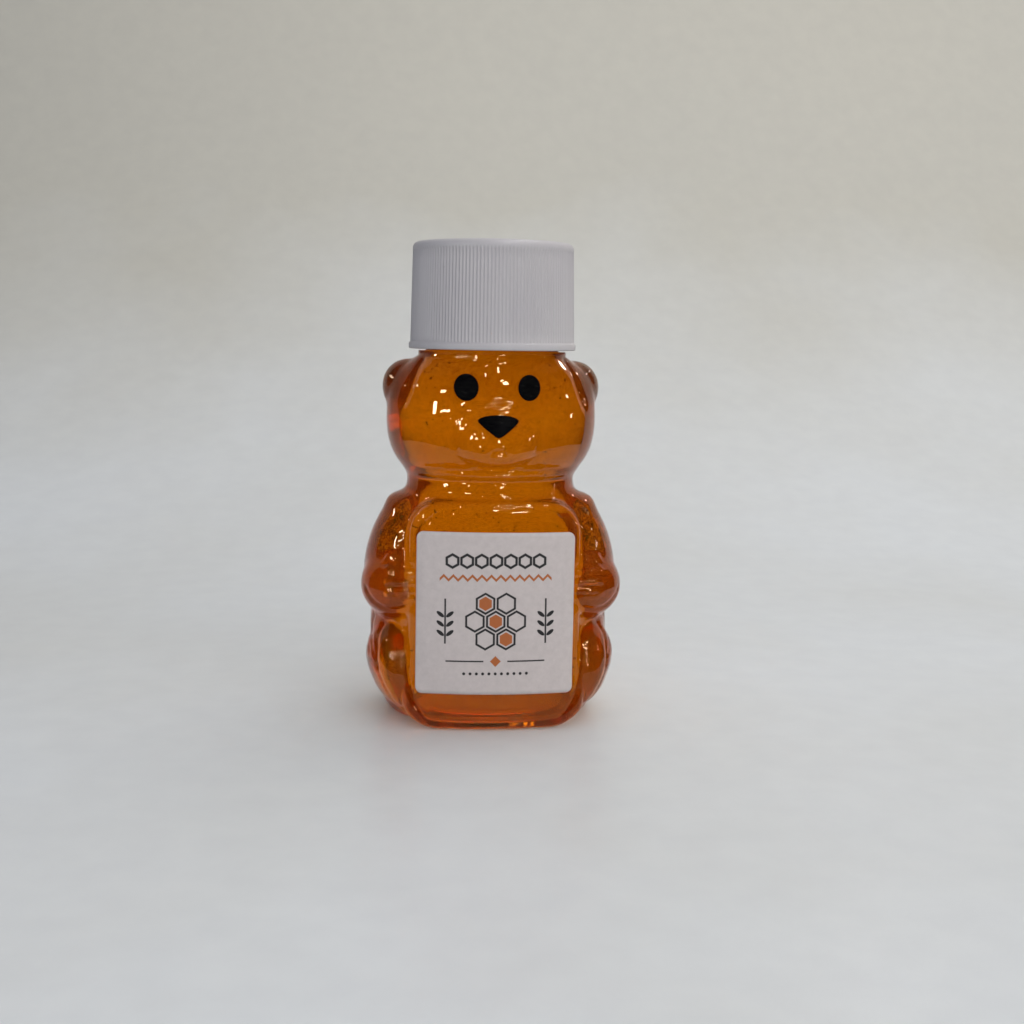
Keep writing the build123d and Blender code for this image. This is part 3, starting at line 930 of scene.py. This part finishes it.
def printLabel(tree, shader):
    place = objectPlace(tree)
    wave = noiseAt(tree, place, 2600, 2)
    x, _, z = addNode(tree, "ShaderNodeSeparateXYZ", {0: place}).outputs
    drift = mathNode(tree, "MULTIPLY_ADD", wave, ink["waver"], -ink["waver"] / 2)
    u = mathNode(tree, "MULTIPLY_ADD", x, 1000.0, drift)
    v = mathNode(tree, "ADD", mathNode(tree, "MULTIPLY_ADD", z, 1000.0, -ink["middle"]), drift)
    rules = [bar(tree, u, v, side * ink["ruleOut"], ink["rulesUp"], *ink["ruleHalf"]) for side in (-1, 1)]
    sides = [nearZero(tree, away(tree, value), ink["diamond"])
             for value in turned(tree, u, v, 0, ink["rulesUp"], 45)]
    drops = [nearZero(tree, hexagon(tree, u, v, *middle), ink["drop"]) for middle in ink["drops"]]
    black = greater(tree, cellChain(tree, u, v), *bigComb(tree, u, v), *sprigs(tree, u, v), *rules,
                    dotRow(tree, u, v))
    orange = greater(tree, zigzagLine(tree, u, v), lesser(tree, *sides), *drops)
    fibre = noiseAt(tree, place, 900, 6, roughness=0.7)
    paper = ramp(tree, fibre, [(0.3, (0.53, 0.475, 0.462)), (0.7, (0.6, 0.54, 0.525))])
    printed = mixColour(tree, orange, paper, (*ink["orange"], 1))
    setInput(tree, shader, "Base Color", mixColour(tree, black, printed, (*ink["black"], 1)))
    setInput(tree, shader, "Roughness", mapRange(tree, wave, 0, 1, 0.6, 0.8))
    bumpFrom(tree, shader, fibre, 0.12, 0.03)


printLabel(paperTree, paperShader)

grainDark, grainTree, grainShader = material("honeySpecks", Roughness=0.6)
crumbs = noiseAt(grainTree, objectPlace(grainTree), 900, 2)
crumbTone = ramp(grainTree, crumbs, [(0.3, (0.012, 0.004, 0.001)), (0.7, (0.09, 0.03, 0.006))])
setInput(grainTree, grainShader, "Base Color", crumbTone)

# the pieces

finishPiece("bottle_skin", bottleMesh, "bottle_body", [plastic, plasticWet], ["bottle"])
finishPiece("honey_fill", honeyMesh, "bottle_body", [honeyTop, honeyWet, honeyFroth], ["honey"])
finishPiece("honey_specks", specksMesh, "bottle_body", [grainDark])
finishPiece("cap_shell", makeCap(), "cap_body", [capPlastic], ["cap"])
finishPiece("label_sheet", makeLabel(), "bottle_body", [labelPaper], ["front_label"])
for name, (x, z, width, height) in paint["eyes"].items():
    eye = makePatch(ovalPoints(x, z, width, height))
    finishPiece("eye_paint_" + name, eye, "bottle_body", [blackPaint], ["eye_" + name])
finishPiece("nose_paint", makePatch(paint["nose"]), "bottle_body", [blackPaint], ["nose"])
cadNodes["cap_liner"].data.materials.clear()
cadNodes["cap_liner"].data.materials.append(linerFoam)

# floor, light

stage = {
    "width": 1.6, "front": -0.6, "bend": 0.075, "radius": 0.32, "height": 0.9, "under": -0.00003,
    "steps": 24, "curl": 0.97, "lean": 0.02,
}


def makeSweep(paper):  # a sheet of paper that lies on the table and curves up behind
    c = stage
    bm = bmesh.new()
    line = [(c["front"], c["under"]), (c["bend"], c["under"])]
    for step in range(1, c["steps"] + 1):
        angle = math.pi / 2 * step / c["steps"] * c["curl"]
        line.append((c["bend"] + c["radius"] * math.sin(angle), c["radius"] * (1 - math.cos(angle))))
    line.append((line[-1][0] + c["lean"], c["height"]))
    verts = [bm.verts.new((-c["width"] / 2, y, z)) for y, z in line]
    edges = [bm.edges.new(pair) for pair in zip(verts, verts[1:])]
    grown = bmesh.ops.extrude_edge_only(bm, edges=edges)["geom"]
    far = [item for item in grown if isinstance(item, bmesh.types.BMVert)]
    bmesh.ops.translate(bm, verts=far, vec=(c["width"], 0, 0))
    bmesh.ops.recalc_face_normals(bm, faces=bm.faces)
    if sum(face.normal.z for face in bm.faces) < 0:
        bmesh.ops.reverse_faces(bm, faces=bm.faces)
    sweep = newObject("paper_sweep", bm, paper)
    sweep.data.shade_smooth()


def paperLook(tree, shader):  # cool floor that turns warmer up the sweep, in painted light, with a faint mottle
    place = objectPlace(tree)
    x, _, z = addNode(tree, "ShaderNodeSeparateXYZ", {0: place}).outputs
    cloud = mathNode(tree, "MULTIPLY_ADD", noiseAt(tree, place, 9, 5), 0.3, -0.1)
    # painted light and shade: the sweep turns darker and warmer as it rises, for warm light on the wall
    # and cool on the floor
    sweepShadeRise = mathNode(tree, "MULTIPLY_ADD", z, 2.6, cloud)
    tone = ramp(tree, sweepShadeRise, [(0.0, (0.72, 0.75, 0.775)), (0.35, (0.555, 0.54, 0.48)),
                             (1.0, (0.605, 0.578, 0.5))])
    mottle = ramp(tree, noiseAt(tree, place, 160, 4), [(0.3, (0.96, 0.96, 0.965)), (0.7, (1, 1, 1))])
    lit = mixColour(tree, 1.0, tone, mottle, "MULTIPLY")
    unlit = mixColour(tree, 1.0, lit, (0.86, 0.86, 0.86, 1), "MULTIPLY")
    leftShadeMask = fade(tree, x, -0.35, 0.05)  # painted shade: the room is dimmer to the left
    setInput(tree, shader, "Base Color", mixColour(tree, leftShadeMask, unlit, lit))


backdrop, backdropTree, backdropShader = material(
    "backdropPaper", Roughness=0.35, Specular_IOR_Level=0.35)
paperLook(backdropTree, backdropShader)
makeSweep(backdrop)


def areaLight(name, place, aim, size, power, colour=(1, 1, 1), glossy=True, sizeY=None):
    lamp = bpy.data.lights.new(name, "AREA")
    lamp.shape = "SQUARE" if sizeY is None else "RECTANGLE"
    lamp.size = size
    if sizeY is not None:
        lamp.size_y = sizeY
    lamp.energy = power
    lamp.color = colour
    holder = bpy.data.objects.new(name, lamp)
    holder.location = place
    holder.rotation_euler = (Vector(aim) - Vector(place)).to_track_quat("-Z", "Y").to_euler()
    holder.visible_glossy = glossy
    holder.visible_camera = False
    scene.collection.objects.link(holder)
    return holder


areaLight("overheadSoft", (0.2, 0.25, 0.68), (0, 0, 0.03), 0.6, 2.3, (1, 0.97, 0.93), glossy=False)
areaLight("frontSoft", (0.25, -0.75, 0.5), (0, 0, 0.04), 1.0, 4.2, (1, 0.975, 0.945), glossy=False)
areaLight("rightSoft", (0.65, -0.1, 0.4), (0, 0, 0.03), 0.5, 0.25, (1, 0.97, 0.93), glossy=False)

glints = [  # place on the front in mm, x and z as the camera sees them; lamp's width and height; strength
    (-3.66, 58.7, 10, 6, 40), (-1.99, 57.86, 4, 4, 40), (0.84, 58.46, 11, 5, 40), (0.16, 57.75, 5, 4, 30),
    (-8.43, 53.76, 13, 5, 40), (-9.65, 51.35, 8, 20, 45), (-5.62, 51.75, 8, 6, 40),
    (-7.38, 49.51, 6, 6, 40), (0.47, 52.86, 6, 7, 40), (1.27, 51.86, 14, 5, 40), (1.41, 50.97, 17, 9, 40),
    (10.85, 53.45, 5, 5, 40), (11.67, 50.37, 5, 6, 40), (0.53, 38.61, 6, 2.5, 30),
    (2.47, 36.17, 24, 3, 50), (4.51, 36.19, 24, 4, 60), (6.29, 36.18, 24, 4, 60),
    (-8.03, 35.43, 9, 6, 40), (14.4, 57.4, 8, 6, 40), (-16.1, 34.99, 8, 5, 40), (-15.61, 29.59, 18, 4, 40),
]
glintPlane = -13.0  # mm, where those places are measured
glintReach = 0.12   # m, from the skin to each lamp


def addGlints():  # each lamp hangs where the skin mirrors it to the camera
    eye = scene.camera.location
    for index, (x, z, width, height, strength) in enumerate(glints):
        sight = (Vector((x, glintPlane, z)) * mm - eye).normalized()
        spot, facing = frontSkin.ray_cast(eye, sight)[:2]
        way = sight - 2 * sight.dot(facing) * facing
        power = strength * math.pi * width * height * mm * mm
        place = spot + way * glintReach
        lamp = areaLight("glint%d" % index, place, spot, width * mm, power, sizeY=height * mm)
        lamp.visible_diffuse = lamp.visible_transmission = False


addGlints()

flag = {
    "radius": 0.165, "foot": 0.0005, "height": 0.165, "wrap": 20, "steps": 48,
}


def makeFlag():  # dark curved card round the front, the room's unlit side, seen only by reflections
    bm = bmesh.new()
    foot = bm.verts.new((-flag["radius"], 0, flag["foot"]))
    top = bm.verts.new((-flag["radius"], 0, flag["height"]))
    turnAll(bm, -flag["wrap"], "Z")
    bmesh.ops.spin(bm, geom=[foot, top, bm.edges.new((foot, top))], cent=(0, 0, 0), axis=(0, 0, 1),
                   angle=math.radians(180 + 2 * flag["wrap"]), steps=flag["steps"])
    black = (0.02, 0.02, 0.02, 1)
    cloth = material("cardBlack", Base_Color=black, Roughness=1.0, Specular_IOR_Level=0.0)[0]
    card = newObject("dark_card", bm, cloth)
    card.visible_camera = card.visible_diffuse = card.visible_shadow = card.visible_transmission = False


makeFlag()

world = bpy.data.worlds.new("room")
scene.world = world
world.use_nodes = True


def worldLook(tree):  # reflections meet a dark room, light through the plastic a pale one
    direction = addNode(tree, "ShaderNodeTexCoord").outputs["Generated"]
    x, y, z = [mathNode(tree, "MULTIPLY_ADD", value, 0.5, 0.5)
               for value in addNode(tree, "ShaderNodeSeparateXYZ", {0: direction}).outputs]
    behind = ramp(tree, y, [(0.0, (0.03, 0.03, 0.032)), (0.52, (0.05, 0.05, 0.052)),
                            (0.75, (0.06, 0.06, 0.055)), (0.91, (0.17, 0.165, 0.155)),
                            (1.0, (0.42, 0.42, 0.41))])
    table = ramp(tree, z, [(0.0, (0.62, 0.62, 0.6)), (0.47, (0.62, 0.62, 0.6)), (0.53, (0.0, 0.0, 0.0)),
                           (1.0, (0.0, 0.0, 0.0))])
    dim = mixColour(tree, 1.0, behind, table, "LIGHTEN")
    pale = ramp(tree, x, [(0.0, (0.27, 0.3, 0.38)), (0.5, (0.4, 0.42, 0.46)), (1.0, (0.56, 0.55, 0.54))])
    path = addNode(tree, "ShaderNodeLightPath")
    bright = mixColour(tree, 1.0, pale, (1.4, 1.4, 1.4, 1), "MULTIPLY")
    soft = mixColour(tree, path.outputs["Is Transmission Ray"], pale, bright)
    sky = mixColour(tree, path.outputs["Is Glossy Ray"], soft, dim)
    setInput(tree, tree.nodes["Background"], "Color", sky)


worldLook(world.node_tree)

scene.view_settings.view_transform = "Standard"
scene.cycles.max_bounces = 32           # light crosses many clear layers here
scene.cycles.transmission_bounces = 32
scene.cycles.glossy_bounces = 24
